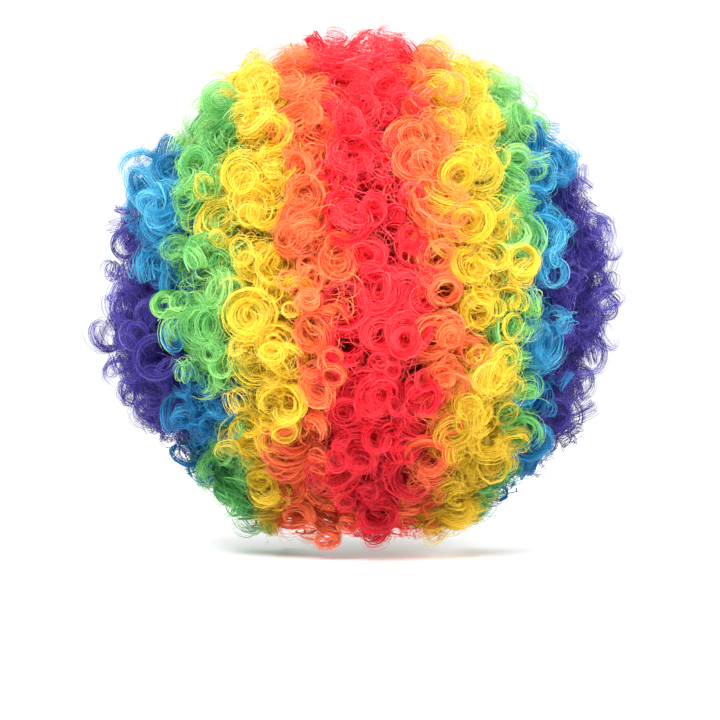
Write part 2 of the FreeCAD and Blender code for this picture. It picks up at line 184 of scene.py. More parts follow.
def make_locks(spacing):
    q, d = lock_targets(spacing)
    q = q[:]
    keep = ~in_opening(q, 7.0)
    keep &= q[:, 2] > -96
    q = q[keep]
    # the fringe that hangs round the neck, in two layers
    low = []
    for radius, z, gap in ((72, -82, 13), (85, -76, 13), (93, -68, 14), (73, -68, 14)):
        k = int(2 * math.pi * radius / gap)
        a = (np.arange(k) + rng.uniform(0, 1)) / k * 2 * math.pi
        r = radius + rng.normal(0, 3, k)
        low.append(np.stack([r * np.cos(a), r * np.sin(a) + 4, z + rng.normal(0, 3, k)], -1))
    low = np.concatenate(low)
    low = low[(low[:, 1] > -22) & ~in_opening(low, 3.0)]
    q = np.concatenate([q, low])
    n = len(q)
    nq = hair_normal(q)
    # the lowest curls face outwards, not down
    axis = nq.copy()
    axis[:, 2] *= 1 - 0.9 * smooth(-30, -70, q[:, 2])
    axis = unit(axis)
    nq[n - len(low):] = axis[n - len(low):]
    # round the sides and top most curls turn to show their rings fore and aft
    edge = smooth(0.5, 0.95, np.sqrt(1 - nq[:, 1] ** 2)) * np.where(rng.random(n) < 0.7, rng.uniform(0.6, 1.7, n), 0.1)
    sign = np.where(rng.random(n) < 0.5 + 0.8 * nq[:, 1], 1.0, -1.0)
    axis = unit(axis + np.array([0, 1, 0]) * (edge * sign)[:, None])
    lean = np.sqrt(np.clip(1 - (axis * nq).sum(-1) ** 2, 0, 1))
    colour, side = stripe(q, rng.normal(0, 0.7, n))
    # open locks hang as loose rings, the others close into rosettes
    free = rng.random(n) < np.where(colour == 5, 0.8, np.where(colour == 4, 0.5, 0.3))
    rad = np.where(free, rng.uniform(6.5, 11.5, n) + 1.3 * (colour > 3), np.clip(rng.normal(10.6, 2.6, n), 5.5, 16.0))
    tilt = rng.uniform(0.12, 0.55, n) + 0.25 * free
    # tips: a little inside or outside the outer form
    deep = np.where(rng.random(n) < 0.15, rng.uniform(-1, 3, n), rng.uniform(2.5, np.where(colour < 4, 11, 15) + 6 * free, n))
    tip = q - nq * (deep + dip(q, nq) + 0.6 * lean * np.maximum(rad - 3, 0))[:, None]
    tip[:, 2] -= rng.uniform(0, 5, n) * (1 - 0.8 * nq[:, 2] ** 2)
    root = roots_of(q)
    nr = cap_normal(root)
    ln = np.linalg.norm(tip - root, axis=1, keepdims=True)
    p1 = root + unit(nr + rng.normal(0, 0.16, (n, 3))) * ln * 0.38
    tilt *= 1 - 0.45 * smooth(-30, -70, q[:, 2])
    p2 = tip - unit(axis + rng.normal(0, 1, (n, 3)) * tilt[:, None] + np.array([0, 0, -0.12])) * ln * 0.30
    L = dict(p0=root, p1=p1, p2=p2, p3=tip, ln=ln[:, 0], colour=colour, side=side, q=q, rad=rad)
    L["turns"] = rng.uniform(2.5, 3.4, n) * (L["ln"] / 72.0) ** 0.5
    L["flat"] = np.where(free, rng.uniform(1.4, 2.1, n), rng.uniform(1.1, 1.75, n))
    L["open"] = free * np.where(colour < 4, 0.6, 1.0)
    return L


def make_ringlets(spacing):
    """Small tight curls that stand out on the surface."""
    q, d = lock_targets(spacing)
    q = q[~in_opening(q, 9.0) & (q[:, 2] > -90)]
    n = len(q)
    nq = hair_normal(q)
    tip = q - nq * (rng.uniform(-1.5, 8, n) + dip(q, nq))[:, None]
    root = tip - unit(tip - HEAD_C) * rng.uniform(24, 32, (n, 1))
    ln = np.linalg.norm(tip - root, axis=1, keepdims=True)
    p1 = root + unit(nq + rng.normal(0, 0.3, (n, 3))) * ln * 0.4
    p2 = tip - unit(nq + rng.normal(0, 0.7, (n, 3))) * ln * 0.4
    colour, side = stripe(q, rng.normal(0, 0.7, n))
    L = dict(p0=root, p1=p1, p2=p2, p3=tip, ln=ln[:, 0], colour=colour, side=side, q=q)
    L["rad"] = rng.uniform(4.0, 7.8, n)
    L["turns"] = rng.uniform(2.4, 3.4, n)
    L["flat"] = rng.uniform(1.1, 2.0, n)
    L["open"] = np.full(n, 0.6)
    return L


def strands_of(locks, idx, clumps, per, points, width, wild=0.0, thin=0.0, span=(0.0, 1.0)):
    """Centre lines, width directions and widths of the strands of some locks.

    A lock is a coil that opens from its root and closes into a flat rosette at
    its tip, or stays open as a ring. wild loosens the strands; thin narrows them
    in open locks; span is the part of the lock they cover.
    """
    n = len(idx)
    total = clumps * per
    L = {k: (v[idx] if isinstance(v, np.ndarray) else v) for k, v in locks.items()}
    rep = lambda a: np.repeat(a, total, axis=0)
    each = lambda a: a.repeat(per, 1).ravel()
    k = n * total
    c_phase = each(rng.normal(0, 0.55 + wild, (n, clumps)))
    c_rho = each(np.sqrt(rng.uniform(0.10, 1.0, (n, clumps))))
    c_ax = each(rng.normal(0, 2.6 + wild * 4, (n, clumps)))
    c_twist = each(rng.uniform(0, math.pi, (n, clumps)))
    c_tail = each(rng.uniform(0.0, 0.85, (n, clumps)))
    loose = rep(L["open"])
    c_rho = 1 - (1 - c_rho) * (1 - 0.75 * loose)
    c_ax *= 1 - 0.45 * loose
    c_tail *= 1 - 0.85 * loose
    c_phase *= 1 - 0.4 * loose
    s_phase = rng.normal(0, 0.22 + wild * 0.4, k)
    s_rho = rng.normal(0, 0.075 + wild * 0.15, k)
    s_ax = rng.normal(0, 1.3 + wild * 3, k)
    end = each(rng.uniform(0.88, 1.0, (n, clumps))) * rng.uniform(0.92, 1.0, k) + wild * rng.uniform(-0.15, 0.22, k)
    m = points
    s = span[0] + (span[1] - span[0]) * np.linspace(0, 1, m)[None] * end[:, None]
    sa = 1 - np.abs(1 - np.minimum(s, 1)) ** rep(L["flat"])[:, None]
    p, t = bezier(rep(L["p0"]), rep(L["p1"]), rep(L["p2"]), rep(L["p3"]), sa)
    over = np.maximum(s - 1.0, 0)[..., None] * rep(L["ln"])[:, None, None]
    p = p + t * over
    ref = rep(L["ref"])[:, None]
    u = unit(ref - (ref * t).sum(-1, keepdims=True) * t)
    v = np.cross(t, u)
    r0 = rep(L["rad"])
    grow = 0.14 + 0.86 * smooth(0.0, 0.5, s)
    t0 = rng.uniform(0.62, 0.85, k)[:, None]
    tail = 1 - c_tail[:, None] * smooth(t0, t0 + 0.4, s)
    rho = np.clip(c_rho + s_rho, 0.12, 1.25)[:, None]
    r = r0[:, None] * rho * grow * tail
    ang = rep(L["phase"])[:, None] + rep(L["hand"])[:, None] * 2 * math.pi * rep(L["turns"])[:, None] * s + (c_phase + s_phase)[:, None] * (0.3 + 0.7 * s)
    # frizz
    k1, k2 = rng.uniform(2, 5, (k, 1)), rng.uniform(5, 9, (k, 1))
    f1, f2, f3 = (rng.uniform(0, 6.28, (k, 1)) for _ in range(3))
    amp = (0.45 + wild * 2.0) * smooth(0.1, 0.7, s)
    r = np.maximum(r + amp * (np.sin(k1 * s * 6.28 + f1) + 0.4 * np.sin(k2 * s * 6.28 + f2)), 0.4)
    ax = (c_ax + s_ax)[:, None] * smooth(0.0, 0.35, s) + amp * np.sin(k1 * s * 6.28 + f3)
    rad_dir = np.cos(ang)[..., None] * u + np.sin(ang)[..., None] * v
    pts = p + rad_dir * r[..., None] + t * ax[..., None]
    tan = unit(np.gradient(pts, axis=1))
    e = unit(rad_dir - (rad_dir * tan).sum(-1, keepdims=True) * tan)
    b = np.cross(tan, e)
    th = (c_twist + rng.normal(0, 0.5, k))[:, None] + rng.normal(0, 0.5, (k, 1)) * s
    wd = np.cos(th)[..., None] * e + np.sin(th)[..., None] * b
    q = np.linspace(0, 1, m)[None]
    w = width * (1 - thin * loose[:, None]) * rng.uniform(0.75, 1.25, (k, 1)) * (0.6 + 0.4 * smooth(0, 0.15, q)) * (1 - 0.7 * smooth(0.88, 1.0, q))
    shade = rep(L["id"]) + 0.8 * rng.random(k)
    # painted shade and highlight: strands on the inside of a coil (small rho) take darker ramp stops, those on its
    # outer rim paler ones
    return pts, wd, tan, w, np.clip(s, 0, 1) + (rho - 0.6) * 0.28, shade


def undercoat(count):
    """Short crimped hair lying on the cap between the locks' roots."""
    d = unit(rng.normal(0, 1, (count * 2, 3)))
    p = cap_point(d, 3.2)
    d = d[(p @ RIM_UP) > 4.0][:count]
    n, m = len(d), 9
    p = cap_point(d, 3.2)
    nm = cap_normal(p)
    x = unit(np.cross(nm, unit(rng.normal(0, 1, (n, 3)))))
    y = np.cross(nm, x)
    u = np.linspace(0, 1, m)[None]
    turn = rng.normal(0, 1.6, (n, 1))
    length = rng.uniform(18, 34, (n, 1))
    gx = length * np.cumsum(np.cos(turn * u), 1) / m
    gy = length * np.cumsum(np.sin(turn * u), 1) / m
    q = p[:, None] + x[:, None] * gx[..., None] + y[:, None] * gy[..., None]
    lift = 3.2 + rng.uniform(5, 27, (n, 1)) * u + 1.2 * np.sin(u * rng.uniform(8, 16, (n, 1)) + rng.uniform(0, 6.28, (n, 1))) * smooth(0, 0.3, u)
    h = q @ RIM_UP
    q = q + RIM_UP * np.maximum(2.5 - h, 0)[..., None]
    q = cap_point(q - HEAD_C, lift)
    tan = unit(np.gradient(q, axis=1))
    nn = cap_normal(q)
    wd = np.cross(tan, nn)
    wd = unit(wd + nn * rng.normal(0, 0.35, (n, 1, 1)))
    w = rng.uniform(1.1, 2.2, (n, 1)) * (0.5 + 0.5 * smooth(0, 0.2, u)) * (1 - 0.75 * smooth(0.75, 1.0, u))
    colour, side = stripe(p, 0)
    # painted light: these hairs lie on the cap yet take ramp positions 0.25 to 0.85, well above the root stop, to lift
    # the shade they lie in
    return dict(pts=q, wd=wd, tan=tan, w=w, s=np.broadcast_to(0.25 + u * 0.6, w.shape), colour=colour, side=side)


def filling(spacing):
    """Loose arcs of hair a little below the surface, behind the locks."""
    q, d = lock_targets(spacing)
    q = q[~in_opening(q, 12.0) & (q[:, 2] > -84)]
    n, m = len(q), 13
    nq = hair_normal(q)
    q = q - nq * (rng.uniform(13, 20, n) + dip(q, nq))[:, None]
    x = unit(np.cross(nq, unit(rng.normal(0, 1, (n, 3)))))
    y = np.cross(nq, x)
    u = np.linspace(0, 1, m)[None]
    turn = rng.uniform(1.5, 5.0, (n, 1)) * rng.choice([-1.0, 1.0], (n, 1))
    length = rng.uniform(18, 34, (n, 1))
    gx = length * (np.cumsum(np.cos(turn * (u - 0.5)), 1) / m - 0.5 * np.sin(turn / 2) / (turn / 2))
    gy = length * np.cumsum(np.sin(turn * (u - 0.5)), 1) / m
    drop = 7.0 * (2 * u - 1) ** 2 + 1.5 * np.sin(u * rng.uniform(6, 14, (n, 1)))
    p = q[:, None] + x[:, None] * gx[..., None] + y[:, None] * gy[..., None] - nq[:, None] * drop[..., None]
    tan = unit(np.gradient(p, axis=1))
    wd = np.cross(tan, np.broadcast_to(nq[:, None], tan.shape))
    wd = unit(wd + nq[:, None] * rng.normal(0, 0.5, (n, 1, 1)))
    w = rng.uniform(0.4, 0.8, (n, 1)) * (1 - 0.75 * np.abs(2 * u - 1) ** 2)
    colour, side = stripe(q, rng.normal(0, 0.7, n))
    keep = rng.random(n) > np.array([0, 0, 0, 0, 0.3, 0.65])[colour]
    p, wd, tan, w, colour, side = (v[keep] for v in (p, wd, tan, w, colour, side))
    # painted light: these arcs lie deep in the hair but take ramp positions 0.85 to 1.1, the pale end, to lift the
    # shade they lie in
    return dict(pts=p, wd=wd, tan=tan, w=w, s=np.broadcast_to(0.85 + 0.25 * u, w.shape), colour=colour, side=side)


def ribbons(name, batches, material, node):
    """One mesh from batches of (points, width direction, tangent, width, s)."""
    V, N, UV, S, F = [], [], [], [], []
    base = row = 0
    rows = math.ceil(sum(b[0].shape[0] for b in batches) / COLS)
    for pts, wd, tan, w, s, shade in batches:
        k, m, _ = pts.shape
        half = wd * w[..., None] * 0.5
        flat = np.cross(tan, wd)
        verts = np.stack([pts - half, pts + half], 2)  # k, m, 2, 3
        norm = np.stack([unit(flat - wd * 0.9), unit(flat + wd * 0.9)], 2)
        i = np.arange(k)[:, None] * (2 * m) + np.arange(m - 1)[None] * 2 + base
        F.append(np.stack([i, i + 2, i + 3, i + 1], -1).reshape(-1, 4))
        cell = np.arange(k) + row
        vrow = (cell // COLS + 0.5) / rows
        uv = np.zeros((k, m, 2, 2))
        uv[..., 0] = (((cell % COLS)[:, None] + np.linspace(0.03, 0.97, m)[None]) / COLS)[..., None]
        uv[..., 0, 1] = vrow[:, None] - 0.42 / rows
        uv[..., 1, 1] = vrow[:, None] + 0.42 / rows
        along = np.zeros((k, m, 2, 2))
        # painted shade: the ramp position drops by up to 0.38 from 12 mm above the origin to 85 mm below it, so the
        # lowest hair is coloured darker in place of the shade at the hem
        low = 0.38 * smooth(0.012, -0.085, pts[..., 2] * MM)
        along[..., 0] = np.clip(s - low, 0, 1.2)[..., None]
        along[..., 1] = (shade / LOCKS)[:, None, None]
        V.append(verts.reshape(-1, 3))
        N.append(norm.reshape(-1, 3))
        UV.append(uv.reshape(-1, 2))
        S.append(along.reshape(-1, 2))
        base += k * m * 2
        row += k
    V, N, UV, S, F = map(np.concatenate, (V, N, UV, S, F))
    me = bpy.data.meshes.new(name)
    me.vertices.add(len(V))
    me.vertices.foreach_set("co", (V * MM).astype(np.float32).ravel())
    me.loops.add(len(F) * 4)
    me.loops.foreach_set("vertex_index", F.astype(np.int32).ravel())
    me.polygons.add(len(F))
    me.polygons.foreach_set("loop_start", np.arange(0, len(F) * 4, 4, dtype=np.int32))
    me.polygons.foreach_set("use_smooth", np.ones(len(F), bool))
    me.update(calc_edges=True)
    for lname, data in (("OFBake", UV), ("hair", S)):
        layer = me.uv_layers.new(name=lname)
        layer.uv.foreach_set("vector", data[F.ravel()].astype(np.float32).ravel())
    me.normals_split_custom_set_from_vertices(N.astype(np.float32))
    me.materials.append(material)
    ob = bpy.data.objects.new(name, me)
    bpy.context.collection.objects.link(ob)
    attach(ob, "cap")
    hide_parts(node)
    return ob


# ----------------------------------------------------------------- materials
def new_material(name):
    m = bpy.data.materials.new(name)
    m.use_nodes = True
    nt = m.node_tree
    bsdf = nt.nodes["Principled BSDF"]
    return m, nt, bsdf


def ramp(nt, stops, fac):
    r = nt.nodes.new("ShaderNodeValToRGB")
    r.color_ramp.elements[0].position, r.color_ramp.elements[0].color = stops[0][0], (*stops[0][1], 1)
    r.color_ramp.elements[1].position, r.color_ramp.elements[1].color = stops[-1][0], (*stops[-1][1], 1)
    for pos, col in stops[1:-1]:
        e = r.color_ramp.elements.new(pos)
        e.color = (*col, 1)
    nt.links.new(fac, r.inputs[0])
    return r.outputs[0]


def maths(nt, op, a, b=None):
    n = nt.nodes.new("ShaderNodeMath")
    n.operation = op
    for i, v in enumerate((a, b)):
        if v is None:
            continue
        if isinstance(v, (int, float)):
            n.inputs[i].default_value = v
        else:
            nt.links.new(v, n.inputs[i])
    return n.outputs[0]


def hair_material(name, shades):
    m, nt, bsdf = new_material(name)
    uv = nt.nodes.new("ShaderNodeUVMap")
    uv.uv_map = "hair"
    sep = nt.nodes.new("ShaderNodeSeparateXYZ")
    nt.links.new(uv.outputs[0], sep.inputs[0])
    along, strand = sep.outputs[0], sep.outputs[1]
    # every lock has its own shade, every strand too, with bands along it
    white = nt.nodes.new("ShaderNodeTexWhiteNoise")
    white.noise_dimensions = "1D"
    nt.links.new(maths(nt, "FLOOR", maths(nt, "MULTIPLY", strand, LOCKS)), white.inputs["W"])
    noise = nt.nodes.new("ShaderNodeTexNoise")
    noise.noise_dimensions = "2D"
    noise.inputs["Scale"].default_value = 1.0
    noise.inputs["Detail"].default_value = 2.0
    mp = nt.nodes.new("ShaderNodeMapping")
    mp.inputs["Scale"].default_value = (6.0, LOCKS * 40.0, 1.0)
    nt.links.new(uv.outputs[0], mp.inputs[0])
    nt.links.new(mp.outputs[0], noise.inputs["Vector"])
    fine = maths(nt, "MULTIPLY", maths(nt, "SUBTRACT", noise.outputs[0], 0.5), 1.0)
    lock = maths(nt, "MULTIPLY", maths(nt, "SUBTRACT", white.outputs[0], 0.5), 0.22)
    # painted shade and highlight: t follows the place along the strand, darker towards the root and paler towards the
    # tip, over random tone per lock and per strand
    t = maths(nt, "ADD", maths(nt, "MULTIPLY", along, 0.72), maths(nt, "ADD", fine, lock))
    col = ramp(nt, list(zip((0.0, 0.32, 0.60, 0.80, 1.0), shades)), t)
    nt.links.new(col, bsdf.inputs["Base Color"])
    bsdf.inputs["Roughness"].default_value = 0.33
    bsdf.inputs["IOR"].default_value = 1.5
    bsdf.inputs["Specular IOR Level"].default_value = 0.5
    # thin fibre lets light through
    thin = nt.nodes.new("ShaderNodeBsdfTranslucent")
    nt.links.new(col, thin.inputs["Color"])
    mix = nt.nodes.new("ShaderNodeMixShader")
    mix.inputs[0].default_value = 0.5
    nt.links.new(bsdf.outputs[0], mix.inputs[1])
    nt.links.new(thin.outputs[0], mix.inputs[2])
    nt.links.new(mix.outputs[0], nt.nodes["Material Output"].inputs["Surface"])
    return m


def linear(rgb):
    return tuple(c / 255 / 12.92 if c <= 10 else ((c / 255 + 0.055) / 1.055) ** 2.4 for c in rgb)


# Ramp stops from the root end to the tip end of a strand. The dye sits in the middle stops; the root and deep stops are
# painted shade, the highlight stop a painted highlight.
HAIR = {  # root, deep, mid, light, highlight
    "red": ((140, 0, 26), (226, 28, 54), (252, 58, 76), (255, 84, 94), (255, 138, 132)),
    "orange": ((170, 64, 30), (242, 112, 64), (255, 142, 88), (255, 166, 102), (255, 206, 136)),
    "yellow": ((158, 124, 16), (230, 197, 42), (247, 218, 62), (252, 234, 94), (255, 244, 160)),
    "green": ((24, 108, 54), (88, 180, 96), (144, 218, 130), (188, 236, 144), (228, 248, 178)),
    "blue": ((6, 46, 100), (20, 98, 158), (38, 152, 204), (82, 198, 230), (160, 240, 250)),
    "purple": ((10, 6, 62), (34, 24, 106), (62, 50, 150), (98, 86, 190), (164, 154, 238)),
}
# ---------------------------------------------------------------- build hair
parts = [make_locks(16.8), make_ringlets(21.0)]
sizes = [len(p["q"]) for p in parts]
locks = {k: np.concatenate([p[k] for p in parts]) for k in parts[0]}
n = sum(sizes)
locks["kind"] = np.repeat([0, 1], sizes)
locks["id"] = np.arange(n)
locks["hand"] = rng.choice([-1.0, 1.0], n)
locks["phase"] = rng.uniform(0, 2 * math.pi, n)
locks["ref"] = unit(rng.normal(0, 1, (n, 3)))
LOCKS, COLS = n, 8
hair_mats = {c: hair_material("hair_" + c, [linear(v) for v in HAIR[c]]) for c in COLOURS}
print("locks", sizes, "by colour", np.bincount(locks["colour"]))

CLUMPS, PER, POINTS = 11, 4, 29
BODY, CLOUD, LONG, FLY = (POINTS - 1) * CLUMPS * PER * 2, 8 * 21 * 2, 2 * 43 * 2, 2 * 31 * 2
LIMIT = 192000 // (BODY + CLOUD + LONG + FLY)
coats = [undercoat(15000), filling(5.0)]
tris = 0
for ci, cname in enumerate(COLOURS):
    for side, sname in ((0, "centre"), (1, "left"), (-1, "right")):
        idx = np.where((locks["colour"] == ci) & (locks["side"] == side))[0]
        if not len(idx):
            continue
        q = locks["q"][idx] - HEAD_C
        idx = idx[np.argsort(np.arctan2(q[:, 2], q[:, 1]))]
        node = "hair_%s_%s" % (cname, sname)
        mats = []
        for coat in coats:
            mat = np.where((coat["colour"] == ci) & (coat["side"] == side))[0]
            c0 = coat["pts"][mat, 0] - HEAD_C
            mats.append(mat[np.argsort(np.arctan2(c0[:, 2], c0[:, 1]))])
        count = len(mats[0]) * 16 + len(mats[1]) * 24 + (locks["kind"][idx] == 0).sum() * (BODY + CLOUD + LONG + FLY) + (locks["kind"][idx] == 1).sum() * 600
        pieces = max(1, math.ceil(count / 180000))
        for k, (part, *unders) in enumerate(zip(np.array_split(idx, pieces), *(np.array_split(mat, pieces) for mat in mats))):
            big, small = part[locks["kind"][part] == 0], part[locks["kind"][part] == 1]
            airy = ci == 5
            batch = [strands_of(locks, big, CLUMPS - 3 * airy, PER, POINTS, 0.27 - 0.04 * airy, span=(0.38 - 0.08 * airy, 1.0)),
                     strands_of(locks, big, 8 - 3 * airy, 1, 22, 1.6, wild=0.2, thin=0.55 + 0.2 * airy, span=(0.04, 0.84 - 0.24 * airy)),
                     strands_of(locks, big, 2, 1, 44, 0.3, wild=0.15),
                     strands_of(locks, big, 2, 1, 32, 0.18, wild=0.5, span=(0.3, 1.0))]
            if len(small):
                batch.append(strands_of(locks, small, 3, 4, 28, 0.25, span=(0.3, 1.0)))
            for coat, under in zip(coats, unders):
                batch.append([coat[key][under] for key in ("pts", "wd", "tan", "w", "s")] + [rng.uniform(0, LOCKS, len(under))])
            ob = ribbons("locks_%s_%s_%d" % (cname, sname, k + 1), batch, hair_mats[cname], node)
            tris += 2 * len(ob.data.polygons)
print("hair triangles", tris)

# ------------------------------------------------------------- cap materials
def cloth_material(name, dark, light, period, rough, depth, skew=0.0):
    """Plain weave from the piece's own millimetre map: threads of one period."""
    m, nt, bsdf = new_material(name)
    uv = nt.nodes.new("ShaderNodeUVMap")
    uv.uv_map = "weave"
    sep = nt.nodes.new("ShaderNodeSeparateXYZ")
    nt.links.new(uv.outputs[0], sep.inputs[0])
    k = 2 * math.pi / period
    a = maths(nt, "SINE", maths(nt, "MULTIPLY", sep.outputs[0], k))
    b = maths(nt, "SINE", maths(nt, "MULTIPLY", maths(nt, "ADD", sep.outputs[1], maths(nt, "MULTIPLY", sep.outputs[0], skew)), k))
    weave = maths(nt, "MULTIPLY", a, b)
    noise = nt.nodes.new("ShaderNodeTexNoise")
    noise.inputs["Scale"].default_value = 0.35
    noise.inputs["Detail"].default_value = 4.0
    nt.links.new(uv.outputs[0], noise.inputs["Vector"])
    fac = maths(nt, "ADD", maths(nt, "MULTIPLY", weave, 0.28), noise.outputs[0])
    nt.links.new(ramp(nt, [(0.2, dark), (0.85, light)], fac), bsdf.inputs["Base Color"])
    bump = nt.nodes.new("ShaderNodeBump")
    bump.inputs["Strength"].default_value = 0.6
    bump.inputs["Distance"].default_value = depth
    nt.links.new(weave, bump.inputs["Height"])
    nt.links.new(bump.outputs[0], bsdf.inputs["Normal"])
    bsdf.inputs["Roughness"].default_value = rough
    bsdf.inputs["Sheen Weight"].default_value = 0.15
    return m


def plastic_material(name, dark, light):
    m, nt, bsdf = new_material(name)
    co = nt.nodes.new("ShaderNodeTexCoord")
    noise = nt.nodes.new("ShaderNodeTexNoise")
    noise.inputs["Scale"].default_value = 900.0
    noise.inputs["Detail"].default_value = 3.0
    nt.links.new(co.outputs["Object"], noise.inputs["Vector"])
    nt.links.new(ramp(nt, [(0.3, dark), (0.7, light)], noise.outputs[0]), bsdf.inputs["Base Color"])
    bump = nt.nodes.new("ShaderNodeBump")
    bump.inputs["Strength"].default_value = 0.25
    bump.inputs["Distance"].default_value = 0.00008
    nt.links.new(noise.outputs[0], bump.inputs["Height"])
    nt.links.new(bump.outputs[0], bsdf.inputs["Normal"])
    bsdf.inputs["Roughness"].default_value = 0.42
    return m


BAND = cloth_material("band_weave", (0.010, 0.010, 0.012), (0.050, 0.050, 0.056), 0.9, 0.85, 0.00020)
TAPE = cloth_material("tape_weave", (0.014, 0.014, 0.016), (0.065, 0.064, 0.070), 0.7, 0.8, 0.00016)
ELASTIC = cloth_material("elastic_weave", (0.012, 0.012, 0.014), (0.080, 0.080, 0.086), 1.1, 0.7, 0.00025, skew=0.5)
SATIN = cloth_material("label_satin", (0.60, 0.60, 0.585), (0.86, 0.86, 0.845), 0.35, 0.38, 0.00004)
THREAD = cloth_material("sewing_thread", (0.030, 0.030, 0.034), (0.110, 0.108, 0.115), 0.5, 0.6, 0.00008, skew=1.0)
NET = cloth_material("net_thread", (0.008, 0.008, 0.010), (0.040, 0.040, 0.046), 0.8, 0.75, 0.00008)
PLASTIC = plastic_material("moulded_black", (0.012, 0.012, 0.013), (0.028, 0.028, 0.030))


class Shell:
    """Closed cloth strips and stitches, gathered into one mesh."""

    def __init__(self):
        self.v, self.f, self.uv, self.n = [], [], [], 0

    def put(self, v, quads, uv):
        self.v.append(v.reshape(-1, 3))
        self.uv.append(uv.reshape(-1, 2))
        self.f += (np.asarray(quads) + self.n).tolist()
        self.n += len(self.v[-1])

    def slab(self, c, nrm, th, closed=False):
        """A strip of cloth round the surface c (along, across, 3)."""
        m, n, _ = c.shape
        th = np.broadcast_to(th, (m, n))[..., None]
        a, b = c + nrm * th / 2, c - nrm * th / 2
        left = c[:, :1] + unit(c[:, :1] - c[:, 1:2]) * th[:, :1] * 0.5
        right = c[:, -1:] + unit(c[:, -1:] - c[:, -2:-1]) * th[:, -1:] * 0.5
        sec = np.concatenate([a, right, b[:, ::-1], left], 1)
        k = 2 * n + 2
        mid = c[:, n // 2]
        along = np.concatenate([[0], np.cumsum(np.linalg.norm(np.diff(mid, axis=0), axis=1))])
        step = np.linalg.norm(sec - np.roll(sec, 1, 1), axis=2).mean(0)
        across = np.cumsum(step) - step[0]
        uv = np.stack(np.broadcast_arrays(along[:, None], across[None]), -1)
        i = np.arange(m if closed else m - 1)[:, None]
        j = np.arange(k)[None]
        i2, j2 = (i + 1) % m, (j + 1) % k
        quads = np.stack(np.broadcast_arrays(i * k + j, i * k + j2, i2 * k + j2, i2 * k + j), -1).reshape(-1, 4)
        faces = quads.tolist()
        if not closed:
            for row in (0, m - 1):
                for q in range(n - 1):
                    faces.append([row * k + q, row * k + q + 1, row * k + 2 * n - q - 1, row * k + 2 * n - q])
                faces.append([row * k + n - 1, row * k + n, row * k + n + 1])
                faces.append([row * k + 2 * n, row * k + 2 * n + 1, row * k])
        base = self.n
        self.v.append(sec.reshape(-1, 3))
        self.uv.append(uv.reshape(-1, 2))
        self.f += [[x + base for x in f] for f in faces]
        self.n += m * k

    def beads(self, p, d, up, length, r):
        """Stitches: short threads at p along d, lying on a surface whose normal is up."""
        p, d, up = p.reshape(-1, 3), unit(d.reshape(-1, 3)), unit(up.reshape(-1, 3))
        side = unit(np.cross(d, up))
        count = len(p)
        st = np.array([-0.5, -0.28, 0.28, 0.5]) * length
        rr = np.array([0.35, 1.0, 1.0, 0.35]) * r
        drop = np.array([-0.9, 0.0, 0.0, -0.9]) * r
        an = np.arange(6) * math.pi / 3
        ring = np.cos(an)[None, None, :, None] * side[:, None, None] + np.sin(an)[None, None, :, None] * up[:, None, None]
        v = p[:, None, None] + d[:, None, None] * st[None, :, None, None] + up[:, None, None] * drop[None, :, None, None] + ring * rr[None, :, None, None]
        uv = np.zeros((count, 4, 6, 2))
        uv[..., 0] = st[None, :, None] + rng.uniform(0, 50, (count, 1, 1))
        uv[..., 1] = np.arange(6)[None, None] * 0.3
        base = np.arange(count)[:, None, None] * 24 + self.n
        i, j = np.arange(3)[None, :, None] * 6, np.arange(6)[None, None]
        quads = np.stack(np.broadcast_arrays(base + i + j, base + i + (j + 1) % 6, base + i + 6 + (j + 1) % 6, base + i + 6 + j), -1)
        self.f += quads.reshape(-1, 4).tolist()
        for row, order in ((0, [5, 4, 3, 2, 1, 0]), (18, [0, 1, 2, 3, 4, 5])):
            caps = np.arange(count)[:, None] * 24 + self.n + row + np.array(order)[None]
            self.f += caps.tolist()
        self.v.append(v.reshape(-1, 3))
        self.uv.append(uv.reshape(-1, 2))
        self.n += count * 24

    def seam(self, line, up, pitch=3.0, length=2.1, r=0.24, zig=0.0):
        """A row of stitches along a polyline."""
        s = np.concatenate([[0], np.cumsum(np.linalg.norm(np.diff(line, axis=0), axis=1))])
        at = np.arange(pitch / 2, s[-1], pitch)
        p = np.stack([np.interp(at, s, line[:, k]) for k in range(3)], -1)
        q = np.stack([np.interp(at + 0.2, s, line[:, k]) for k in range(3)], -1)
        q0 = np.stack([np.interp(at - 0.2, s, line[:, k]) for k in range(3)], -1)
        n = unit(np.stack([np.interp(at, s, up[:, k]) for k in range(3)], -1))
        d = unit(q - q0)
        if zig:
            d = unit(d + np.cross(n, d) * zig * np.where(np.arange(len(d)) % 2, 1, -1)[:, None])
        self.beads(p, d, n, length, r)

    def make(self, name, material, node, slot, body="cap"):
        v, uv = np.concatenate(self.v) * MM, np.concatenate(self.uv)
        me = bpy.data.meshes.new(name)
        me.from_pydata(v.tolist(), [], self.f)
        layer = me.uv_layers.new(name="weave")
        idx = np.empty(len(me.loops), np.int32)
        me.loops.foreach_get("vertex_index", idx)
        layer.uv.foreach_set("vector", uv[idx].astype(np.float32).ravel())
        bm = bmesh.new()
        bm.from_mesh(me)
        bmesh.ops.recalc_face_normals(bm, faces=bm.faces)
        bm.to_mesh(me)
        bm.free()
        me.shade_smooth()
        me.materials.append(material)
        ob = bpy.data.objects.new(name, me)
        bpy.context.collection.objects.link(ob)
        if body:
            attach(ob, body)
        if node:
            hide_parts(node)
        return ob


# ----------------------------------------------------------------- cap curves
E1 = np.array([1.0, 0.0, 0.0])
E2 = np.array([0.0, math.cos(TILT), -math.sin(TILT)])


